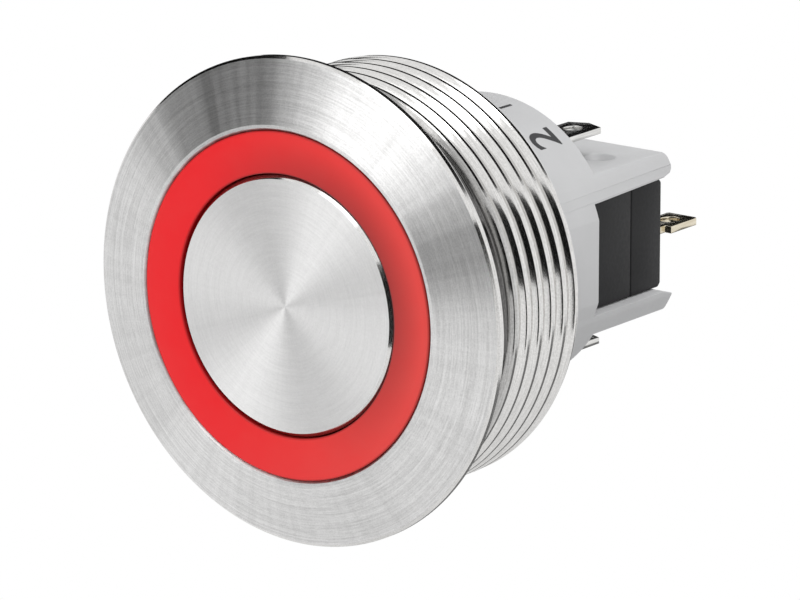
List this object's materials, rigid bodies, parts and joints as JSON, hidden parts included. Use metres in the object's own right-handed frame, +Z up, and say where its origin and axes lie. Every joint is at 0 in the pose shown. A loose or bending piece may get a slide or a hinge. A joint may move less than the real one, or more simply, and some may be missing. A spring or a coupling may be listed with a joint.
{
  "type": "illuminated panel pushbutton",
  "caption": "Round flush metal pushbutton with a lit ring and threaded barrel; a moulded carrier at the rear holds a snap-action switch and lamp terminals.",
  "frame": {"origin": "on the button's axis, at the rear face of the flange, where it rests on the panel", "axes": "-Y is the way the button's face looks, +Y goes back through the panel, and +Z is up as in the picture"},
  "size_m": [0.025, 0.0273, 0.025],
  "materials": {
    "stainless": "turned, fine concentric lines",
    "stainless_button": "faced in a lathe, fine concentric lines",
    "red_lens": "translucent red, lit from behind",
    "seal_rubber": "smooth",
    "pusher_plastic": "moulded",
    "spring_steel": "drawn wire and strip",
    "board_green": "green circuit board",
    "lamp_lens": "clear lamp body",
    "tinned": "tin plated",
    "carrier_plastic": "light grey, fine moulded texture",
    "switch_black": "dark grey, moulded",
    "actuator_plastic": "moulded",
    "terminal_metal": "plated",
    "leaf_metal": "spring strip",
    "contact_metal": "silver alloy"
  },
  "bodies": {
    "housing": {"carrier": "carrier_plastic", "contact_closed": "contact_metal", "contact_open": "contact_metal", "housing": "stainless", "keeper_ring": "spring_steel", "lamp_1": "lamp_lens", "lamp_2": "lamp_lens", "lamp_3": "lamp_lens", "lamp_4": "lamp_lens", "lamp_5": "lamp_lens", "lamp_6": "lamp_lens", "lamp_board": "board_green", "lamp_tab_lower": "tinned", "lamp_tab_upper": "tinned", "light_ring": "red_lens", "return_spring": "spring_steel", "switch_base": "switch_black", "switch_cover": "switch_black", "terminal_closed": "terminal_metal", "terminal_common": "terminal_metal", "terminal_open": "terminal_metal"},
    "button": {"button_cap": "stainless_button", "button_seal": "seal_rubber", "button_pusher": "pusher_plastic"},
    "switch_actuator": {"switch_actuator": "actuator_plastic"},
    "contact_leaf": {"contact_leaf": "leaf_metal", "moving_contact": "contact_metal"}
  },
  "joints": [
    {"name": "button_press", "type": "slide", "parent": "housing", "child": "button", "axis": [0, 1, 0], "range_m": [0, 0.0007], "stiffness_N_per_m": 1200, "springref_m": -0.001, "deforming": ["return_spring"]},
    {"name": "actuator_press", "type": "slide", "parent": "housing", "child": "switch_actuator", "axis": [0, 1, 0], "range_m": [0, 0.0007]},
    {"name": "leaf_swing", "type": "hinge", "parent": "housing", "child": "contact_leaf", "pos_m": [-0.0047, 0.0179, 0], "axis": [0, 0, 1], "range_deg": [0, 4.2]}
  ],
  "couplings": [
    {"joint": "actuator_press", "follows": "button_press", "ratio": 1},
    {"joint": "leaf_swing", "follows": "button_press", "rad_per_m": 103.7}
  ]
}
